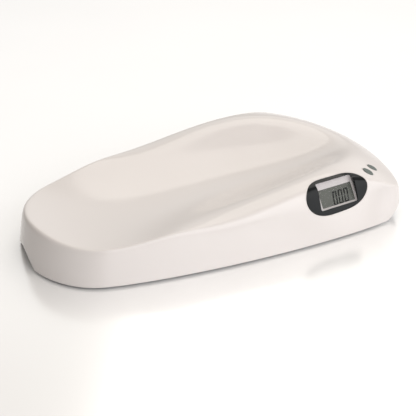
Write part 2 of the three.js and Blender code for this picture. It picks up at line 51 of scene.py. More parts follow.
# ------------------------------------------------------------------ the tray's skin
S = dict(r0=35.013, rl=119.982, sl=46.652, Ls=449.784, ph=97.04, ss=6.427, se=13.868, xo=-55.758,
         z0=3.5, s0=6.13, s1=9.905, sx1=-5.209, sx2=1.91, s3=1.195,
         h0=92.087, h1=32.679, h2=-18.821, h3=-93.341, h4=13.312, k0=18.169, k1=-0.206, k2=11.625,
         c0=43.535, c1=2.255, c2=15.271, c3=30.988, c4=25.33, e0=72.0, e1=62.6,
         ks=5.0, ks1=6.0, kt=6.0, kt1=4.0, sn=2.2, kn=9.0)
K = 560 / 605.54
CX = 20.0
WALL = 3.0
RIM = 3.24
KICK = 18.5
NOTCH = (18.0, 42.0, 17.5)          # centre, half width, height of the hand recess
PLATE_Z, PLATE_T = 6.0, 2.5

PH = np.linspace(0, np.pi, 2881)


def _g(x, m, s):
    return np.exp(-((x - m) / s) ** 2 / 2)


def _outline_table():
    sg, se, sl = S["ss"] * RAD, S["se"] * RAD, S["sl"] * RAD
    base = S["r0"] + S["rl"] * _g(PH, np.pi, sl) + S["Ls"] / (sg * math.sqrt(2 * math.pi)) * (
        _g(PH, S["ph"] * RAD, sg) + _g(PH, -S["ph"] * RAD, sg) + _g(PH, 2 * np.pi - S["ph"] * RAD, sg))
    eb = (_g(PH, 0, se) + _g(PH, 2 * np.pi, se)) / (se * math.sqrt(2 * math.pi))
    cum = lambda f: np.concatenate([[0], np.cumsum((f[1:] + f[:-1]) / 2) * (PH[1] - PH[0])])
    le = -cum(base * np.cos(PH))[-1] / cum(eb * np.cos(PH))[-1]
    rho = base + le * eb
    x = -cum(rho * np.sin(PH))
    y = cum(rho * np.cos(PH))
    return x - (x[0] + x[-1]) / 2 + S["xo"], y


OX, OY = _outline_table()


def outline(t):
    tt = np.mod(np.asarray(t, float), 2 * np.pi)
    f = np.where(tt <= np.pi, tt, 2 * np.pi - tt)
    return np.interp(f, PH, OX), np.where(tt <= np.pi, 1, -1) * np.interp(f, PH, OY)


def smin(a, b, k):
    m = np.minimum(a, b)
    return m - k * np.log(np.exp(-(a - m) / k) + np.exp(-(b - m) / k))


def skin(t, s, inset=0.0, drop=0.0):
    """Point of the tray's skin in mm. t: angle of the plan normal, s: 0 at the centre to 1 at the edge."""
    t, s = np.broadcast_arrays(np.asarray(t, float), np.asarray(s, float))
    c, n = np.cos(t), np.sin(t)
    ox, oy = outline(t)
    sl = S["s0"] + S["s1"] * c + S["s3"] * np.cos(2 * t) + S["sx1"] * (ox - S["xo"]) / 300 + S["sx2"] * ((ox - S["xo"]) / 300) ** 2
    nose = ((1 - c) / 2) ** 4
    sl = np.maximum(sl + S["sn"] * nose, 0.8)
    ox = ox - inset / K * c
    oy = oy - inset / K * n
    x = CX + s * (ox - CX)
    y = s * oy
    d = (1 - s) * ((ox - CX) * c + oy * n)
    xn, yn = x / 280, y / 160
    zs = sl * d
    dome = S["h0"] + S["h1"] * xn + S["h2"] * xn ** 2 + S["h3"] * xn ** 3 + S["h4"] * xn ** 4 - (S["k0"] + S["k1"] * xn + S["k2"] * xn ** 2) * yn ** 2 - drop / K
    tr = S["c0"] + S["c1"] * xn + S["c2"] * xn ** 2 + S["c3"] * xn ** 3 + S["c4"] * xn ** 4 + (S["e0"] + S["e1"] * xn) * yn ** 2 - drop / K
    w = (1 + c) / 2
    # the direction-dependent blends fade out towards the centre, where all directions meet
    fade = np.clip(s / 0.5, 0, 1)
    fade = fade * fade * (3 - 2 * fade)
    w = w * fade + 0.5 * (1 - fade)
    tp = smin(dome, tr, S["kt"] + S["kt1"] * w)
    k = S["ks"] + S["ks1"] * w ** 2 + S["kn"] * nose * fade
    tp = np.maximum(tp, k * 0.7)
    cc = -k * np.log(1 - np.exp(-tp / k))
    z = np.maximum(smin(tp, zs + cc, k), 0) + S["z0"]
    return np.stack([K * (x - S["xo"]), K * y, K * z], -1)


def edge_z(x, y):
    """Height of the tray's lower edge: lifted at the display end, with a hand recess at the narrow end."""
    f = np.clip((x - 210) / 42, 0, 1)
    z = RIM + KICK * f * f * (3 - 2 * f)
    u = np.clip(np.abs((y - NOTCH[0]) / NOTCH[1]), 0, 1)
    return np.where(x < -230, RIM + NOTCH[2] * (1 - u ** 1.6), z)


def stations(nt, extra=()):
    n = 5760
    a = np.linspace(0, 2 * np.pi, n + 1)
    ox, oy = outline(a)
    w = np.hypot(np.diff(ox), np.diff(oy)) / 1650 + 0.55 / n
    am = (a[1:] + a[:-1]) / 2
    for pos, amp, wid in extra:
        w = w * (1 + amp * np.exp(-(((am - pos + np.pi) % (2 * np.pi) - np.pi) / wid) ** 2))
    c = np.concatenate([[0], np.cumsum(w)])
    return np.interp(np.arange(nt) / nt * c[-1], c, a)


def edge_s(t, inset, lift=0.0):
    """s at which the skin meets the lower edge."""
    lo, hi = np.full_like(t, 0.7), np.ones_like(t)
    for _ in range(40):
        m = (lo + hi) / 2
        p = skin(t, m, inset)
        above = p[:, 2] > edge_z(p[:, 0], p[:, 1]) + lift
        lo = np.where(above, m, lo)
        hi = np.where(above, hi, m)
    return (lo + hi) / 2


# ------------------------------------------------------------------ mesh helpers
def mesh_object(name, verts, faces, body, smooth=True):
    me = bpy.data.meshes.new(name)
    me.from_pydata([((float(v[0]) + SHIFT) * MM, float(v[1]) * MM, float(v[2]) * MM) for v in verts], [], [tuple(int(i) for i in f) for f in faces])
    me.update()
    me.validate()
    bm = bmesh.new()
    bm.from_mesh(me)
    bmesh.ops.recalc_face_normals(bm, faces=bm.faces)
    bm.to_mesh(me)
    bm.free()
    if smooth:
        for p in me.polygons:
            p.use_smooth = True
    ob = bpy.data.objects.new(name, me)
    bpy.context.scene.collection.objects.link(ob)
    if body:
        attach(ob, body)
    return ob


def sharpen(ob, deg=32):
    """Smooth shading, with edges sharper than the angle kept crisp."""
    me = ob.data
    bm = bmesh.new()
    bm.from_mesh(me)
    for f in bm.faces:
        f.smooth = True
    for e in bm.edges:
        if len(e.link_faces) == 2 and e.calc_face_angle(0) > deg * RAD:
            e.smooth = False
    bm.to_mesh(me)
    bm.free()


def rings(loops, close_start=True, close_end=True):
    """Faces between closed loops of equal length. Returns verts, faces."""
    n = len(loops[0])
    v = np.concatenate([np.asarray(l, float) for l in loops])
    f = []
    for r in range(len(loops) - 1):
        a, b = r * n, (r + 1) * n
        for i in range(n):
            j = (i + 1) % n
            f.append((a + i, a + j, b + j, b + i))
    if close_start:
        v = np.concatenate([v, [np.mean(loops[0], 0)]])
        c = len(v) - 1
        f += [(c, (i + 1) % n, i) for i in range(n)]
    if close_end:
        v = np.concatenate([v, [np.mean(loops[-1], 0)]])
        c = len(v) - 1
        a = (len(loops) - 1) * n
        f += [(c, a + i, a + (i + 1) % n) for i in range(n)]
    return v, f


def lathe(profile, n=64):
    """Loops of a turned shape about +z from (r, z) pairs."""
    a = np.arange(n) / n * 2 * np.pi
    return [np.stack([r * np.cos(a), r * np.sin(a), np.full(n, z)], -1) for r, z in profile]


def boolean(ob, cutter, op="DIFFERENCE"):
    m = ob.modifiers.new("cut", "BOOLEAN")
    m.operation = op
    m.solver = "EXACT"
    m.object = cutter
    dg = bpy.context.evaluated_depsgraph_get()
    me = bpy.data.meshes.new_from_object(ob.evaluated_get(dg))
    ob.modifiers.remove(m)
    old = ob.data
    ob.data = me
    bpy.data.meshes.remove(old)
    bpy.data.objects.remove(cutter, do_unlink=True)


def apply_modifiers(ob):
    dg = bpy.context.evaluated_depsgraph_get()
    me = bpy.data.meshes.new_from_object(ob.evaluated_get(dg))
    ob.modifiers.clear()
    old = ob.data
    ob.data = me
    bpy.data.meshes.remove(old)


# display frame and key frames, as in the CAD
DV = np.array([0, 0.546, 0.838]); DV /= np.linalg.norm(DV)
DN = np.array([0, -0.838, 0.546]); DN /= np.linalg.norm(DN)
DH = np.array([1.0, 0, 0])
DC = np.array([134.13, -142.74, 61.28])


def disp(p):
    p = np.asarray(p, float)
    return DC + p[..., 0:1] * DH + p[..., 1:2] * DV + p[..., 2:3] * DN


LA = [-2.323, -48.887, 7.379, 0.153, -0.252, -2.872, 1.463]
LB = [-1.0, 3.87, 29.179, 0.784, 0.17, 1.498, 3.119]


def lens_outline(grow, n=160):
    t = -np.arange(n) / n * 2 * np.pi
    f = lambda c, t: c[0] + c[1] * np.cos(t) + c[2] * np.sin(t) + c[3] * np.cos(2 * t) + c[4] * np.sin(2 * t) + c[5] * np.cos(3 * t) + c[6] * np.sin(3 * t)
    e = 1e-3
    q = np.stack([f(LA, t), f(LB, t)], -1)
    d = np.stack([f(LA, t - e) - f(LA, t + e), f(LB, t - e) - f(LB, t + e)], -1)
    d /= np.linalg.norm(d, axis=1)[:, None]
    return q + grow * np.stack([d[:, 1], -d[:, 0]], -1)


def rounded_rect(w, h, r, x=0.0, y=0.0, n=6):
    p = []
    for sx, sy, a0 in ((1, -1, -90), (1, 1, 0), (-1, 1, 90), (-1, -1, 180)):
        for i in range(n + 1):
            a = (a0 + 90 * i / n) * RAD
            p.append((x + sx * (w / 2 - r) + r * math.cos(a), y + sy * (h / 2 - r) + r * math.sin(a)))
    return np.array(p)


def resample(poly, n):
    """n points evenly along a closed polygon."""
    q = np.vstack([poly, poly[:1]])
    d = np.concatenate([[0], np.cumsum(np.hypot(*np.diff(q, axis=0).T))])
    u = np.arange(n) / n * d[-1]
    return np.stack([np.interp(u, d, q[:, 0]), np.interp(u, d, q[:, 1])], -1)


# dense local patch of the skin by the display, to drop points onto it
_pt, _ps = np.meshgrid(np.linspace(-125, 15, 420) * RAD, np.linspace(0.45, 1.0, 330), indexing="ij")
_pv = skin(_pt, _ps).reshape(-1, 3)
_idx = np.arange(420 * 330).reshape(420, 330)
_pf = np.stack([_idx[:-1, :-1], _idx[1:, :-1], _idx[1:, 1:], _idx[:-1, 1:]], -1).reshape(-1, 4)
PATCH = BVHTree.FromPolygons([tuple(v) for v in _pv], [tuple(int(i) for i in f) for f in _pf])


_gt, _gs = np.gradient(_pv.reshape(420, 330, 3), axis=(0, 1))
_pn = np.cross(_gs, _gt)
_pn /= np.maximum(np.linalg.norm(_pn, axis=-1), 1e-9)[..., None]
_pn *= np.where(_pn[..., 2:3] < 0, -1, 1)
_pn = _pn.reshape(-1, 3)


def polish(ob, reach=1.6):
    """Give the outer face of a piece the true normals of the skin it follows."""
    me = ob.data
    loops = np.empty(len(me.loops) * 3, np.float32)
    me.corner_normals.foreach_get("vector", loops)
    loops = loops.reshape(-1, 3).copy()
    for p in me.polygons:
        fn = np.array(p.normal)
        for li in p.loop_indices:
            co = me.vertices[me.loops[li].vertex_index].co / MM - Vector((SHIFT, 0, 0))
            loc, no, fi, dist = PATCH.find_nearest(co)
            if fi is None or dist > reach:
                continue
            idx = _pf[fi]
            w = np.array([1.0 / (1e-4 + np.linalg.norm(_pv[i] - np.array(co))) ** 2 for i in idx])
            nn = (_pn[idx] * w[:, None]).sum(0)
            nn /= np.linalg.norm(nn)
            if fn.dot(nn) > 0.93:
                loops[li] = nn
    me.normals_split_custom_set([tuple(x) for x in loops])


def onto(points, direction, start=40.0):
    """Signed height of the skin over each point's plane, measured along direction."""
    d = Vector(direction)
    out = []
    for p in points:
        o = Vector(p) + d * start
        hit = PATCH.ray_cast(o, -d)
        out.append(start - hit[3] if hit[0] is not None else 0.0)
    return np.array(out)


# ------------------------------------------------------------------ materials
def new_material(name):
    m = bpy.data.materials.new(name)
    m.use_nodes = True
    nt = m.node_tree
    b = nt.nodes["Principled BSDF"]
    return m, nt, b


def _node(nt, kind, **kw):
    n = nt.nodes.new(kind)
    for k, v in kw.items():
        setattr(n, k, v)
    return n


def _noise(nt, coord, scale, detail=3.0, rough=0.55, dist=0.0):
    n = _node(nt, "ShaderNodeTexNoise")
    n.inputs["Scale"].default_value = scale
    n.inputs["Detail"].default_value = detail
    n.inputs["Roughness"].default_value = rough
    n.inputs["Distortion"].default_value = dist
    nt.links.new(coord, n.inputs["Vector"])
    return n


def _ramp(nt, fac, stops):
    r = _node(nt, "ShaderNodeValToRGB")
    el = r.color_ramp.elements
    while len(el) < len(stops):
        el.new(0.5)
    for e, (p, c) in zip(el, stops):
        e.position = p
        e.color = (*c, 1) if len(c) == 3 else c
    nt.links.new(fac, r.inputs["Fac"])
    return r


def _range(nt, val, lo, hi, a=0.0, b=1.0):
    n = _node(nt, "ShaderNodeMapRange")
    n.inputs["From Min"].default_value = a
    n.inputs["From Max"].default_value = b
    n.inputs["To Min"].default_value = lo
    n.inputs["To Max"].default_value = hi
    nt.links.new(val, n.inputs["Value"])
    return n.outputs["Result"]


def plastic(name, col, col2, rough=(0.12, 0.2), bump=0.0004, grain=900.0, broad=6.0, coat=0.0, spec=0.5, wear=None, ior=1.5, sss=0.0, bump_strength=0.25):
    """Moulded plastic: broad tint drift, fine grain, roughness variation, faint scuffs and worn edges."""
    m, nt, b = new_material(name)
    L = nt.links.new
    co = _node(nt, "ShaderNodeTexCoord").outputs["Object"]
    n1 = _noise(nt, co, broad, 2.0)
    r1 = _ramp(nt, n1.outputs["Fac"], [(0.3, col), (0.7, col2)])
    out = r1.outputs["Color"]
    if wear:
        g = _node(nt, "ShaderNodeNewGeometry")
        pr = _ramp(nt, g.outputs["Pointiness"], [(0.52, (0, 0, 0)), (0.58, (1, 1, 1))])
        mx = _node(nt, "ShaderNodeMix", data_type="RGBA")
        L(pr.outputs["Color"], mx.inputs["Factor"])
        L(out, mx.inputs["A"])
        mx.inputs["B"].default_value = (*wear, 1)
        out = mx.outputs["Result"]
    L(out, b.inputs["Base Color"])
    n2 = _noise(nt, co, 38.0, 5.0, 0.65, 0.4)
    L(_range(nt, n2.outputs["Fac"], rough[0], rough[1], 0.3, 0.7), b.inputs["Roughness"])
    n3 = _noise(nt, co, grain, 2.0)
    n4 = _noise(nt, co, 14.0, 2.0)
    add = _node(nt, "ShaderNodeMath", operation="MULTIPLY_ADD")
    L(n4.outputs["Fac"], add.inputs[0])
    add.inputs[1].default_value = 0.0 if bump == 0 else 1.2
    L(n3.outputs["Fac"], add.inputs[2])
    bp = _node(nt, "ShaderNodeBump")
    bp.inputs["Strength"].default_value = bump_strength
    bp.inputs["Distance"].default_value = bump
    L(add.outputs[0], bp.inputs["Height"])
    L(bp.outputs["Normal"], b.inputs["Normal"])
    b.inputs["IOR"].default_value = ior
    b.inputs["Specular IOR Level"].default_value = spec
    b.inputs["Coat Weight"].default_value = coat
    b.inputs["Coat Roughness"].default_value = 0.04
    return m


def metal(name, col, rough=(0.25, 0.4), grain=400.0, stretch=(1, 1, 12)):
    m, nt, b = new_material(name)
    L = nt.links.new
    co = _node(nt, "ShaderNodeTexCoord").outputs["Object"]
    mp = _node(nt, "ShaderNodeMapping")
    mp.inputs["Scale"].default_value = stretch
    L(co, mp.inputs["Vector"])
    n1 = _noise(nt, mp.outputs["Vector"], grain, 4.0)
    n2 = _noise(nt, co, 60.0, 3.0)
    r = _ramp(nt, n2.outputs["Fac"], [(0.3, tuple(c * 0.86 for c in col)), (0.7, col)])
    L(r.outputs["Color"], b.inputs["Base Color"])
    L(_range(nt, n1.outputs["Fac"], rough[0], rough[1], 0.3, 0.7), b.inputs["Roughness"])
    b.inputs["Metallic"].default_value = 1.0
    bp = _node(nt, "ShaderNodeBump")
    bp.inputs["Strength"].default_value = 0.2
    bp.inputs["Distance"].default_value = 0.0001
    L(n1.outputs["Fac"], bp.inputs["Height"])
    L(bp.outputs["Normal"], b.inputs["Normal"])
    return m


M = {}
M["white"] = plastic("gloss_white_plastic", (0.655, 0.622, 0.606), (0.685, 0.655, 0.640), rough=(0.10, 0.17), bump=0.00008, grain=1400, broad=4.0, spec=0.55, bump_strength=0.05)
M["base"] = plastic("textured_base_plastic", (0.60, 0.59, 0.585), (0.66, 0.65, 0.645), rough=(0.42, 0.6), bump=0.00012, grain=2600, broad=9.0, spec=0.4, bump_strength=0.5)
M["black"] = plastic("polished_black_acrylic", (0.006, 0.0075, 0.008), (0.011, 0.013, 0.014), rough=(0.04, 0.08), bump=0.00002, grain=300, broad=20.0, spec=0.17, bump_strength=0.02)
M["bezel"] = plastic("satin_bezel_plastic", (0.66, 0.63, 0.635), (0.72, 0.69, 0.695), rough=(0.3, 0.42), bump=0.00005, grain=3000, broad=30.0, bump_strength=0.3)
M["key"] = plastic("silicone_key", (0.085, 0.108, 0.100), (0.135, 0.160, 0.150), rough=(0.42, 0.6), bump=0.00012, grain=1800, broad=220.0, spec=0.35, wear=(0.30, 0.33, 0.32), bump_strength=0.6)
M["dark"] = plastic("dark_moulded_plastic", (0.035, 0.036, 0.038), (0.055, 0.056, 0.058), rough=(0.4, 0.55), bump=0.0001, grain=2400, broad=25.0, bump_strength=0.5)
M["holder"] = plastic("holder_plastic", (0.022, 0.023, 0.025), (0.035, 0.036, 0.038), rough=(0.45, 0.6), bump=0.0001, grain=2000, broad=25.0, bump_strength=0.5)
M["rubber"] = plastic("foot_rubber", (0.018, 0.018, 0.019), (0.034, 0.034, 0.035), rough=(0.75, 0.92), bump=0.0003, grain=1500, broad=60.0, spec=0.25, wear=(0.09, 0.09, 0.088), bump_strength=0.7)
M["chip"] = plastic("chip_epoxy", (0.012, 0.012, 0.013), (0.02, 0.02, 0.021), rough=(0.5, 0.65), bump=0.00005, grain=4000, broad=90.0, bump_strength=0.4)
M["cable"] = plastic("cable_jacket", (0.02, 0.02, 0.022), (0.035, 0.035, 0.037), rough=(0.35, 0.5), bump=0.00008, grain=1200, broad=60.0, bump_strength=0.4)
M["elastomer"] = plastic("zebra_elastomer", (0.42, 0.24, 0.26), (0.52, 0.32, 0.34), rough=(0.6, 0.75), bump=0.0001, grain=2000, broad=200.0)
M["steel"] = metal("nickel_plated_steel", (0.62, 0.61, 0.59))
M["zinc"] = metal("zinc_plated_steel", (0.66, 0.67, 0.69), rough=(0.22, 0.38), grain=900, stretch=(1, 1, 1))
M["can"] = metal("aluminium_can", (0.7, 0.7, 0.71), rough=(0.3, 0.42))


def board_material():
    m, nt, b = new_material("solder_mask_board")
    L = nt.links.new
    co = _node(nt, "ShaderNodeTexCoord").outputs["Object"]
    br = _node(nt, "ShaderNodeTexBrick")
    br.inputs["Scale"].default_value = 320
    br.inputs["Mortar Size"].default_value = 0.035
    br.inputs["Color1"].default_value = (0.018, 0.11, 0.045, 1)
    br.inputs["Color2"].default_value = (0.022, 0.13, 0.055, 1)
    br.inputs["Mortar"].default_value = (0.05, 0.24, 0.11, 1)
    L(co, br.inputs["Vector"])
    L(br.outputs["Color"], b.inputs["Base Color"])
    n = _noise(nt, co, 120, 3)
    L(_range(nt, n.outputs["Fac"], 0.3, 0.5, 0.3, 0.7), b.inputs["Roughness"])
    bp = _node(nt, "ShaderNodeBump")
    bp.inputs["Strength"].default_value = 0.3
    bp.inputs["Distance"].default_value = 0.00005
    L(br.outputs["Fac"], bp.inputs["Height"])
    L(bp.outputs["Normal"], b.inputs["Normal"])
    return m


def lcd_material():
    m, nt, b = new_material("lcd_reflective_cell")
    L = nt.links.new
    co = _node(nt, "ShaderNodeTexCoord").outputs["Object"]
    n = _noise(nt, co, 30, 2)
    r = _ramp(nt, n.outputs["Fac"], [(0.3, (0.100, 0.108, 0.094)), (0.7, (0.112, 0.121, 0.105))])
    L(r.outputs["Color"], b.inputs["Base Color"])
    n2 = _noise(nt, co, 45, 2)
    L(_range(nt, n2.outputs["Fac"], 0.40, 0.46, 0.3, 0.7), b.inputs["Roughness"])
    bp = _node(nt, "ShaderNodeBump")
    bp.inputs["Strength"].default_value = 0.02
    bp.inputs["Distance"].default_value = 0.00001
    L(n2.outputs["Fac"], bp.inputs["Height"])
    L(bp.outputs["Normal"], b.inputs["Normal"])
    return m


def window_material():
    m, nt, b = new_material("clear_acrylic_window")
    L = nt.links.new
    co = _node(nt, "ShaderNodeTexCoord").outputs["Object"]
    n = _noise(nt, co, 80, 4)
    L(_range(nt, n.outputs["Fac"], 0.02, 0.06, 0.3, 0.7), b.inputs["Roughness"])
    r = _ramp(nt, n.outputs["Fac"], [(0.3, (0.02, 0.022, 0.022)), (0.7, (0.03, 0.032, 0.032))])
    L(r.outputs["Color"], b.inputs["Base Color"])
    b.inputs["Alpha"].default_value = 0.07
    b.inputs["Specular IOR Level"].default_value = 0.2
    return m


def jacket_material():
    m, nt, b = new_material("battery_jacket")
    L = nt.links.new
    co = _node(nt, "ShaderNodeTexCoord").outputs["Object"]
    sep = _node(nt, "ShaderNodeSeparateXYZ")
    L(co, sep.inputs[0])
    r = _ramp(nt, _range(nt, sep.outputs["X"], 0, 1, 0.027, 0.072), [(0.0, (0.55, 0.56, 0.58)), (0.03, (0.05, 0.10, 0.17)), (0.72, (0.05, 0.10, 0.17)), (0.74, (0.5, 0.33, 0.12)), (0.965, (0.5, 0.33, 0.12)), (0.975, (0.6, 0.6, 0.62))])
    r.color_ramp.interpolation = "CONSTANT"
    L(r.outputs["Color"], b.inputs["Base Color"])
    n = _noise(nt, co, 200, 3)
    L(_range(nt, n.outputs["Fac"], 0.22, 0.36, 0.3, 0.7), b.inputs["Roughness"])
    b.inputs["Metallic"].default_value = 0.4
    return m


M["pcb"] = board_material()
M["lcd"] = lcd_material()
M["window"] = window_material()
M["battery"] = jacket_material()
M["segment"] = plastic("lcd_segment", (0.004, 0.005, 0.005), (0.008, 0.009, 0.009), rough=(0.45, 0.55), bump=0.00001, grain=300, broad=90.0, spec=0.2, bump_strength=0.02)


def dress(ob, mat):
    ob.data.materials.clear()
    ob.data.materials.append(mat)


# ------------------------------------------------------------------ camera, lights, floor
scene = bpy.context.scene
scene.view_settings.view_transform = "Standard"
scene.view_settings.look = "None"
AZ, EL = -31.72 * RAD, 28.416 * RAD
back = Vector((math.sin(AZ) * math.cos(EL), -math.cos(AZ) * math.cos(EL), math.sin(EL)))
right = Vector((math.cos(AZ), math.sin(AZ), 0))
up = back.cross(right)
cam_data = bpy.data.cameras.new("camera")
cam = bpy.data.objects.new("camera", cam_data)
scene.collection.objects.link(cam)
cam.matrix_world = Matrix(((right.x, up.x, back.x, -0.63267), (right.y, up.y, back.y, -1.10700), (right.z, up.z, back.z, 0.70413), (0, 0, 0, 1)))
cam_data.sensor_width = 36
cam_data.lens = 975.66 / 416 * 36
cam_data.shift_x = (208 - 234.08) / 416
cam_data.shift_y = (204.24 - 208) / 416
cam_data.clip_start = 0.05
cam_data.clip_end = 60
scene.camera = cam


def area(name, loc, target, size, power, color=(1, 1, 1), size_y=None):
    l = bpy.data.lights.new(name, "AREA")
    l.energy = power
    l.color = color
    l.size = size
    if size_y:
        l.shape = "RECTANGLE"
        l.size_y = size_y
    o = bpy.data.objects.new(name, l)
    scene.collection.objects.link(o)
    o.location = loc
    o.rotation_euler = (Vector(target) - Vector(loc)).to_track_quat("-Z", "Y").to_euler()
    return o


area("front_softbox", (0.5, -2.75, 1.38), (0.0, 0, 0.04), 4.4, 62, (1.0, 0.985, 1.0), 2.6)
area("overhead_softbox", (1.05, 0.95, 1.75), (0.0, 0, 0.04), 1.7, 10, (1.0, 0.965, 0.91), 1.1)
area("top_fill", (-0.2, -0.5, 2.4), (0, 0, 0), 2.0, 12, (1.0, 0.955, 0.895))

# studio surround: bright low backdrop behind, darker to the left and close to the horizon
world = bpy.data.worlds.new("studio")
scene.world = world
world.use_nodes = True
wn = world.node_tree
bg = wn.nodes["Background"]
tc = _node(wn, "ShaderNodeTexCoord")
sx = _node(wn, "ShaderNodeSeparateXYZ")
wn.links.new(tc.outputs["Generated"], sx.inputs[0])
wr = _ramp(wn, sx.outputs["Z"], [(0.0, (0.52, 0.505, 0.50)), (0.13, (0.56, 0.545, 0.535)), (0.28, (0.95, 0.94, 0.93)), (0.50, (0.98, 0.96, 0.93)), (0.62, (0.52, 0.485, 0.445)), (1.0, (0.55, 0.505, 0.455))])
wl = _ramp(wn, _range(wn, sx.outputs["X"], 0, 1, -1, 1), [(0.0, (0.26, 0.25, 0.24)), (0.28, (0.45, 0.44, 0.43)), (0.55, (1, 1, 1))])
wm = _node(wn, "ShaderNodeMix", data_type="RGBA", blend_type="MULTIPLY")
wm.inputs["Factor"].default_value = 1.0
wn.links.new(wr.outputs["Color"], wm.inputs["A"])
wn.links.new(wl.outputs["Color"], wm.inputs["B"])
wn.links.new(wm.outputs["Result"], bg.inputs["Color"])
bg.inputs["Strength"].default_value = 1.15

floor = mesh_object("floor", [(-9000, -9000, 0), (9000, -9000, 0), (9000, 9000, 0), (-9000, 9000, 0)], [(0, 1, 2, 3)], None, False)
fm, fnt, fb = new_material("pale_floor")
fco = _node(fnt, "ShaderNodeTexCoord").outputs["Object"]
fno = _noise(fnt, fco, 3.0, 2)
fr = _ramp(fnt, fno.outputs["Fac"], [(0.3, (0.965, 0.975, 0.985)), (0.7, (0.98, 0.99, 1.0))])
fnt.links.new(fr.outputs["Color"], fb.inputs["Base Color"])
fb.inputs["Roughness"].default_value = 0.20
fb.inputs["Metallic"].default_value = 0.36
fb.inputs["Specular IOR Level"].default_value = 0.5
dress(floor, fm)

# ------------------------------------------------------------------ tray shell
kink = []
for yk in (NOTCH[0] - NOTCH[1], NOTCH[0] + NOTCH[1]):
    tt = np.linspace(np.pi * 0.6, np.pi * 1.4, 4000)
    kink.append((float(tt[np.argmin(np.abs(outline(tt)[1] * K - yk))]), 5.0, 0.03))
TH = stations(440, kink)
SU = np.concatenate([np.linspace(0.03, 0.72, 46), 0.72 + 0.28 * (1 - (1 - np.linspace(0.03, 1, 58)) ** 1.35)])


def shell_loops(inset, drop, lift):
    se = edge_s(TH, inset, lift)
    return [skin(TH, u * se, inset, drop) for u in SU]


outer = shell_loops(0, 0, 0.7)
inner = shell_loops(WALL, WALL, 0.7)[::-1]
eo, ei = outer[-1], inner[0]
nrm = np.stack([np.cos(TH), np.sin(TH)], -1)
rim = []
for ins, lf in ((0.05, 0.42), (0.2, 0.2), (0.42, 0.06), (0.75, 0.0), (2.25, 0.0), (2.6, 0.08), (2.85, 0.3)):
    p = eo.copy()
    p[:, :2] = eo[:, :2] - nrm * ins
    p[:, 2] = eo[:, 2] - 0.7 + lf
    rim.append(p)
v, f = rings(outer + rim + inner)
shell = mesh_object("tray_shell_moulding", v, f, "housing")
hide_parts("tray_shell")

# analytic normals of the uncut skin, to keep the reflections true after cutting
uncut = BVHTree.FromPolygons([tuple(c) for c in v], [tuple(q) for q in f])
shell_normals = np.array([tuple(x.normal) for x in shell.data.vertices])


def prism_object(loops2d, frame_fn, z0, z1):
    a = frame_fn(np.c_[loops2d, np.full(len(loops2d), z0)])
    b = frame_fn(np.c_[loops2d, np.full(len(loops2d), z1)])
    vv, ff = rings([a, b])
    return mesh_object("cutter", vv, ff, None, False)


KEYN = np.array([0.31, -0.21, 0.926]); KEYN /= np.linalg.norm(KEYN)


def key_frame(p, d):
    d = np.array(d, float)
    d -= KEYN * d.dot(KEYN)
    d /= np.linalg.norm(d)
    return np.array(p, float), d, np.cross(KEYN, d)


KEYS = {"power": (key_frame((202.4, -126.8, 69.5), (6.6, -17, -6)), 17.6, 12.6),
        "tare": (key_frame((219.9, -114.6, 66.4), (8.8, -14, -6)), 16.2, 11.0)}


def leaf(length, width, grow, n=72):
    a, b = length / 2 + grow * 1.4, width / 2 + grow
    t = np.arange(n) / n * 2 * np.pi
    return np.stack([a * np.cos(t), b * np.sin(t) * (0.82 + 0.18 * np.sin(t) ** 2)], -1)


def key_space(kf):
    o, d, s = kf
    return lambda p: o + np.asarray(p)[..., 0:1] * d + np.asarray(p)[..., 1:2] * s + np.asarray(p)[..., 2:3] * KEYN


boolean(shell, prism_object(lens_outline(0.3), disp, -16, 16))
for kf, ln, wd in KEYS.values():
    boolean(shell, prism_object(leaf(ln, wd, 0.3), key_space(kf), -8, 8))


def restore_normals(ob):
    me = ob.data
    loops = np.empty(len(me.loops) * 3, np.float32)
    me.corner_normals.foreach_get("vector", loops)
    loops = loops.reshape(-1, 3).copy()
    fl = [tuple(q) for q in f]
    vv = np.array(v)
    cache = {}
    for p in me.polygons:
        fn = np.array(p.normal)
        for li in p.loop_indices:
            vi = me.loops[li].vertex_index
            if vi not in cache:
                co = me.vertices[vi].co / MM - Vector((SHIFT, 0, 0))
                loc, no, fi, dist = uncut.find_nearest(co)
                if fi is None or dist > 0.02:
                    cache[vi] = None
                else:
                    idx = fl[fi]
                    w = np.array([1.0 / (1e-4 + (Vector(vv[i]) - co).length) ** 2 for i in idx])
                    nn = (shell_normals[list(idx)] * w[:, None]).sum(0)
                    cache[vi] = nn / np.linalg.norm(nn)
            nn = cache[vi]
            if nn is not None and fn.dot(nn) > 0.8:
                loops[li] = nn
            else:
                loops[li] = fn
    me.normals_split_custom_set([tuple(x) for x in loops])


for p in shell.data.polygons:
    p.use_smooth = True
restore_normals(shell)
dress(shell, M["white"])

# rolled lip round the display opening and round each key
def lip(name, loop2d_fn, frame_fn, direction, widths, mat, sink=1.6, raise_=0.28):
    prof = [(widths[0], -sink), (widths[0], -0.25), (widths[0] + 0.12, 0.02), (widths[0] + 0.35, raise_ * 0.85), (widths[0] + 0.7, raise_), (widths[0] + 1.05, raise_ * 0.7), (widths[1], 0.0), (widths[1] + 0.2, -0.5), (widths[1] - 0.4, -sink)]
    loops = []
    for g, h in prof:
        q = loop2d_fn(g)
        base = frame_fn(np.c_[q, np.zeros(len(q))])
        hh = onto(base, direction)
        loops.append(base + (hh + h)[:, None] * np.asarray(direction))
    n = len(loops[0])
    vv = np.concatenate(loops)
    ff = []
    for r in range(len(loops)):
        a, b = r * n, ((r + 1) % len(loops)) * n
        for i in range(n):
            j = (i + 1) % n
            ff.append((a + i, a + j, b + j, b + i))
    ob = mesh_object(name, vv, ff, "housing")
    dress(ob, mat)
    return ob


lip("display_opening_lip", lambda g: lens_outline(g), disp, DN, (0.3, 1.9), M["white"])

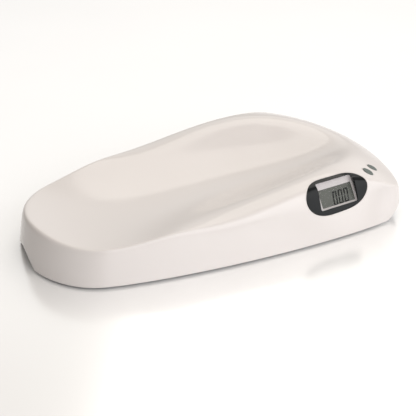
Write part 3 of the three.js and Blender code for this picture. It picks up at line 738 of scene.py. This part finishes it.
# ------------------------------------------------------------------ display lens
N2 = 160
egg = lens_outline(0.0, N2)
W_X, W_Y, W_W, W_H = -0.6, 0.0, 64.0, 39.0
win = rounded_rect(W_W, W_H, 2.2, W_X, W_Y, 8)


def angle_match(src, ref, centre):
    """Points of closed polygon src at the polar angles of ref about centre."""
    a = np.arctan2(ref[:, 1] - centre[1], ref[:, 0] - centre[0])
    d = resample(src, 4000)
    b = np.arctan2(d[:, 1] - centre[1], d[:, 0] - centre[0])
    o = np.argsort(b)
    b, d = b[o], d[o]
    b = np.concatenate([b[-60:] - 2 * np.pi, b, b[:60] + 2 * np.pi])
    d = np.concatenate([d[-60:], d, d[:60]])
    return np.stack([np.interp(a, b, d[:, 0]), np.interp(a, b, d[:, 1])], -1)


def drop_on_skin(q, depth):
    base = disp(np.c_[q, np.zeros(len(q))])
    return base + (onto(base, DN) + depth)[:, None] * DN


wc = (W_X, W_Y)
winr = angle_match(win, egg, wc)
corner = []
top = []
top.append(drop_on_skin(egg, -2.3))
top.append(drop_on_skin(egg, -0.9))
for g, dp in ((0.0, -0.75), (-0.12, -0.52), (-0.35, -0.4)):
    top.append(drop_on_skin(lens_outline(g, N2), dp))
for k in range(1, 9):
    u = k / 9
    top.append(drop_on_skin((1 - u) * lens_outline(-0.35, N2) + u * winr, -0.4))
top.append(drop_on_skin(winr, -0.4))
inner_w = [drop_on_skin(winr, -2.3)]
loops = top + inner_w
vv = np.concatenate(loops)
n = N2
ff = []
for r in range(len(loops)):
    a, b = r * n, ((r + 1) % len(loops)) * n
    for i in range(n):
        j = (i + 1) % n
        ff.append((a + i, a + j, b + j, b + i))
surround = mesh_object("display_surround_lens", vv, ff, "housing")
sharpen(surround, 40)
polish(surround, 0.6)
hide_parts("display_surround")
dress(surround, M["black"])

loops = [drop_on_skin(wc + (winr - wc) * k, -0.42) for k in (0.12, 0.3, 0.5, 0.7, 0.85, 0.95, 0.9985)] + [drop_on_skin(wc + (winr - wc) * k, -1.9) for k in (0.9985, 0.8, 0.5, 0.2)]
vv, ff = rings(loops)
window = mesh_object("display_window_clear", vv, ff, "housing")
sharpen(window, 40)
polish(window, 0.6)
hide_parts("display_window")
dress(window, M["window"])

# ------------------------------------------------------------------ bezel behind the window
def rect_loop(x0, x1, y0, y1, r=0.8, n=4):
    return rounded_rect(x1 - x0, y1 - y0, r, (x0 + x1) / 2, (y0 + y1) / 2, n)


LX0, LX1, LY0, LY1 = -27.0, 30.5, -17.0, 9.5
WX0, WX1, WY0, WY1 = W_X - W_W / 2 - 0.4, W_X + W_W / 2 + 0.4, W_Y - W_H / 2 - 0.4, W_Y + W_H / 2 + 0.4
bl = []


def bez(q, z=None, depth=None):
    base = disp(np.c_[q, np.zeros(len(q))])
    if depth is not None:
        return base + (onto(base, DN) + depth)[:, None] * DN
    return base + z * DN


q_in = rect_loop(LX0, LX1, LY0, LY1, 0.6)
q_lip = rect_loop(LX0 - 0.35, LX1 + 0.35, LY0 - 0.35, LY1 + 0.35, 0.8)
q_out = rect_loop(WX0, WX1, WY0, WY1, 2.0)
q_far = rect_loop(WX0 - 3.2, WX1 + 3.2, WY0 - 1.6, WY1 + 1.0, 3.0)
bl = [bez(q_in, z=-5.2), bez(q_in, z=-4.7), bez(q_lip, z=-4.4)]
a, b = bez(q_lip, z=-4.4), bez(q_out, depth=-2.9)
for u in (0.1, 0.5, 0.9, 1.0):
    bl.append(a * (1 - u) + b * u)
bl += [bez(q_far, depth=-3.7), bez(q_far, z=-12.0), bez(q_lip, z=-12.0)]
vv = np.concatenate(bl)
n = len(q_in)
ff = []
for r in range(len(bl)):
    a, b = r * n, ((r + 1) % len(bl)) * n
    for i in range(n):
        j = (i + 1) % n
        ff.append((a + i, a + j, b + j, b + i))
bezel = mesh_object("lcd_bezel_frame", vv, ff, "housing")
sharpen(bezel, 20)
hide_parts("lcd_bezel")
dress(bezel, M["bezel"])

# LCD cell: two sheets of glass, the upper one with its polariser, and the seven-segment zeros
lcd_loops = []
g = (1.75 - 33, 1.75 + 33, -3.75 - 16.5, -3.75 + 16.5)
for ins, z in ((0.35, -7.9), (0.0, -7.7), (0.0, -6.75), (0.25, -6.7), (0.25, -6.6), (0.0, -6.55), (0.0, -5.45), (0.2, -5.3)):
    lcd_loops.append(disp(np.c_[rect_loop(g[0] + ins, g[1] - ins, g[2] + ins, g[3] - ins, 0.5, 2), np.full(12, z)]))
vv, ff = rings(lcd_loops)
lcd = mesh_object("lcd_cell", vv, ff, "housing", False)
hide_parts("lcd_glass")
dress(lcd, M["lcd"])


def segment_digit(cx, cy, w, h, t, slant, which, z=-5.25, th=0.12):
    """Flat LCD segments of one digit as closed slabs."""
    hw, hh, gp = w / 2, h / 2, 0.16
    segs = {
        "a": [(-hw + gp, hh), (hw - gp, hh), (hw - t - gp * 0.2, hh - t), (-hw + t + gp * 0.2, hh - t)],
        "d": [(-hw + t + gp * 0.2, -hh + t), (hw - t - gp * 0.2, -hh + t), (hw - gp, -hh), (-hw + gp, -hh)],
        "f": [(-hw, hh - gp), (-hw + t, hh - t - gp), (-hw + t, t * 0.35 + gp), (-hw + t * 0.4, gp), (-hw, gp + t * 0.2)],
        "b": [(hw, hh - gp), (hw, gp + t * 0.2), (hw - t * 0.4, gp), (hw - t, t * 0.35 + gp), (hw - t, hh - t - gp)],
        "e": [(-hw, -hh + gp), (-hw, -gp - t * 0.2), (-hw + t * 0.4, -gp), (-hw + t, -t * 0.35 - gp), (-hw + t, -hh + t + gp)],
        "c": [(hw, -hh + gp), (hw - t, -hh + t + gp), (hw - t, -t * 0.35 - gp), (hw - t * 0.4, -gp), (hw, -gp - t * 0.2)],
        "g": [(-hw + t * 0.6, 0), (-hw + t * 1.1, t / 2), (hw - t * 1.1, t / 2), (hw - t * 0.6, 0), (hw - t * 1.1, -t / 2), (-hw + t * 1.1, -t / 2)],
    }
    vs, fs = [], []
    for s in which:
        p = np.array(segs[s])
        p = np.stack([p[:, 0] + p[:, 1] * slant + cx, p[:, 1] + cy], -1)
        k = len(vs)
        m = len(p)
        for zz in (z, z + th):
            vs += [tuple(x) for x in disp(np.c_[p, np.full(m, zz)])]
        fs.append(tuple(range(k, k + m))[::-1])
        fs.append(tuple(range(k + m, k + 2 * m)))
        for i in range(m):
            j = (i + 1) % m
            fs.append((k + i, k + j, k + m + j, k + m + i))
    return vs, fs


DIGITS = [(-1.9, -7.4), (7.9, -7.0), (17.9, -7.0)]
vs, fs = [], []
for cx, cy in DIGITS:
    a, b = segment_digit(cx, cy, 7.3, 20.0, 2.1, 0.14, "abcdef")
    fs += [tuple(i + len(vs) for i in q) for q in b]
    vs += a
digits = mesh_object("lcd_digits", vs, fs, "housing", False)
dress(digits, M["segment"])

# ------------------------------------------------------------------ keys
def key_piece(name, node, kf, ln, wd, body):
    sp = key_space(kf)
    def lp(g, depth, n=72):
        q = leaf(ln, wd, g, n)
        base = sp(np.c_[q, np.zeros(n)])
        return base + (onto(base, KEYN) + depth)[:, None] * KEYN
    loops = [lp(0, -4.4), lp(0, -0.2), lp(-0.02, 0.2), lp(-0.1, 0.55), lp(-0.32, 0.86), lp(-0.75, 1.02)]
    q0 = leaf(ln, wd, -0.75, 72)
    for u, dp in ((0.88, 1.04), (0.8, 0.98), (0.72, 0.9), (0.55, 0.86), (0.3, 0.88), (0.1, 0.9)):
        base = sp(np.c_[q0 * u, np.zeros(72)])
        loops.append(base + (onto(base, KEYN) + dp)[:, None] * KEYN)
    vv, ff = rings(loops)
    ob = mesh_object(name, vv, ff, body)
    dress(ob, M["key"])
    return ob


for nm, (kf, ln, wd) in KEYS.items():
    ob = key_piece(nm + "_key_cap", nm + "_key", kf, ln, wd, nm + "_key_body")
    lip(nm + "_key_opening_lip", lambda g, ln=ln, wd=wd: leaf(ln, wd, g, 96), key_space(kf), KEYN, (0.3, 1.3), M["white"], sink=1.2, raise_=0.12)

# ------------------------------------------------------------------ moulded detail of the underside
def closed_rings(name, loops, body, mat):
    n = len(loops[0])
    vv = np.concatenate(loops)
    ff = []
    for r in range(len(loops)):
        a, b = r * n, ((r + 1) % len(loops)) * n
        ff += [(a + i, a + (i + 1) % n, b + (i + 1) % n, b + i) for i in range(n)]
    ob = mesh_object(name, vv, ff, body)
    sharpen(ob, 40)
    dress(ob, mat)
    return ob


def collar(name, cx, cy, r0, r1, z0, z1, n=72):
    prof = [(r0, z1), (r0, z0 + 0.2), (r0 + 0.25, z0), (r1 - 0.35, z0), (r1, z0 + 0.3), (r1 + 0.25, z1)]
    closed_rings(name, [l + np.array([cx, cy, 0]) for l in lathe(prof, n)], "housing", M["base"])


for c, (x, y) in dict(fr=(178, -118), br=(178, 118), fl=(-205, -72), bl=(-205, 72)).items():
    collar("foot_collar_" + c, x, y, 20.3, 23.0, 5.2, 6.15)
for i, (x, y) in enumerate([(-238, 48), (-238, -48), (-20, 122), (-20, -122), (194, 56), (194, -56)]):
    collar("screw_collar_%d" % (i + 1), x, y, 3.75, 5.2, 5.55, 6.15, 40)


def flat_rect(w, h, r, x, y, z):
    return np.c_[rounded_rect(w, h, r, x, y, 6), np.full(28, z)]


def open_frame(name, stations, prof):
    n = len(prof)
    vv = np.array([[p[0] + g * o[0], p[1] + g * o[1], z] for p, o in stations for g, z in prof], float)
    ff = [(r * n + i, r * n + (i + 1) % n, (r + 1) * n + (i + 1) % n, (r + 1) * n + i) for r in range(len(stations) - 1) for i in range(n)]
    ff += [tuple(reversed(range(n))), tuple((len(stations) - 1) * n + i for i in range(n))]
    vol = sum(np.dot(vv[f[0]], np.cross(vv[f[k]], vv[f[k + 1]])) for f in ff for k in range(1, len(f) - 1))
    if vol < 0:
        ff = [tuple(reversed(f)) for f in ff]
    ob = mesh_object(name, vv, ff, "housing")
    sharpen(ob, 40)
    dress(ob, M["base"])


# three sided, so the side where the door swings stays clear
open_frame("battery_door_frame", [((23.6, -17.7), (0, -1)), ((74.2, -17.7), (1, -1)), ((74.2, 17.7), (1, 1)), ((23.6, 17.7), (0, 1))],
           [(0, 6.15), (0, 5.6), (0.2, 5.4), (1.3, 5.4), (1.6, 5.6), (1.75, 6.15)])
for i, x in enumerate((60.0, 62.4, 64.8)):
    v_, f_ = rings([flat_rect(0.9, 15 - i * 2.0, 0.4, x, 0, 6.1), flat_rect(0.9, 15 - i * 2.0, 0.4, x, 0, 5.65), flat_rect(0.5, 14.5 - i * 2.0, 0.22, x, 0, 5.5)])
    ob = mesh_object("battery_door_grip_%d" % (i + 1), v_, f_, "battery_door_body")
    sharpen(ob, 40)
    dress(ob, M["base"])

# ------------------------------------------------------------------ carried-over CAD nodes
SLOT_MAT = {"white_plastic": "white", "base_plastic": "base", "black_acrylic": "black", "clear_acrylic": "window", "bezel_plastic": "bezel", "lcd_glass": "lcd",
            "elastomer": "elastomer", "circuit_board": "pcb", "chip_plastic": "chip", "capacitor_can": "can", "zinc_steel": "zinc", "key_rubber": "key",
            "dark_plastic": "dark", "foot_rubber": "rubber", "cell_steel": "steel", "holder_plastic": "holder", "battery_jacket": "battery", "contact_steel": "steel", "cable_jacket": "cable"}
slots = {s["node"]: s["material_slot"] for s in frame["record"]["subparts"]}
for name, ob in NODES.items():
    mat = M[SLOT_MAT[slots[name]]]
    if not ob.data.materials:
        ob.data.materials.append(mat)
    for i in range(len(ob.data.materials)):
        ob.data.materials[i] = mat
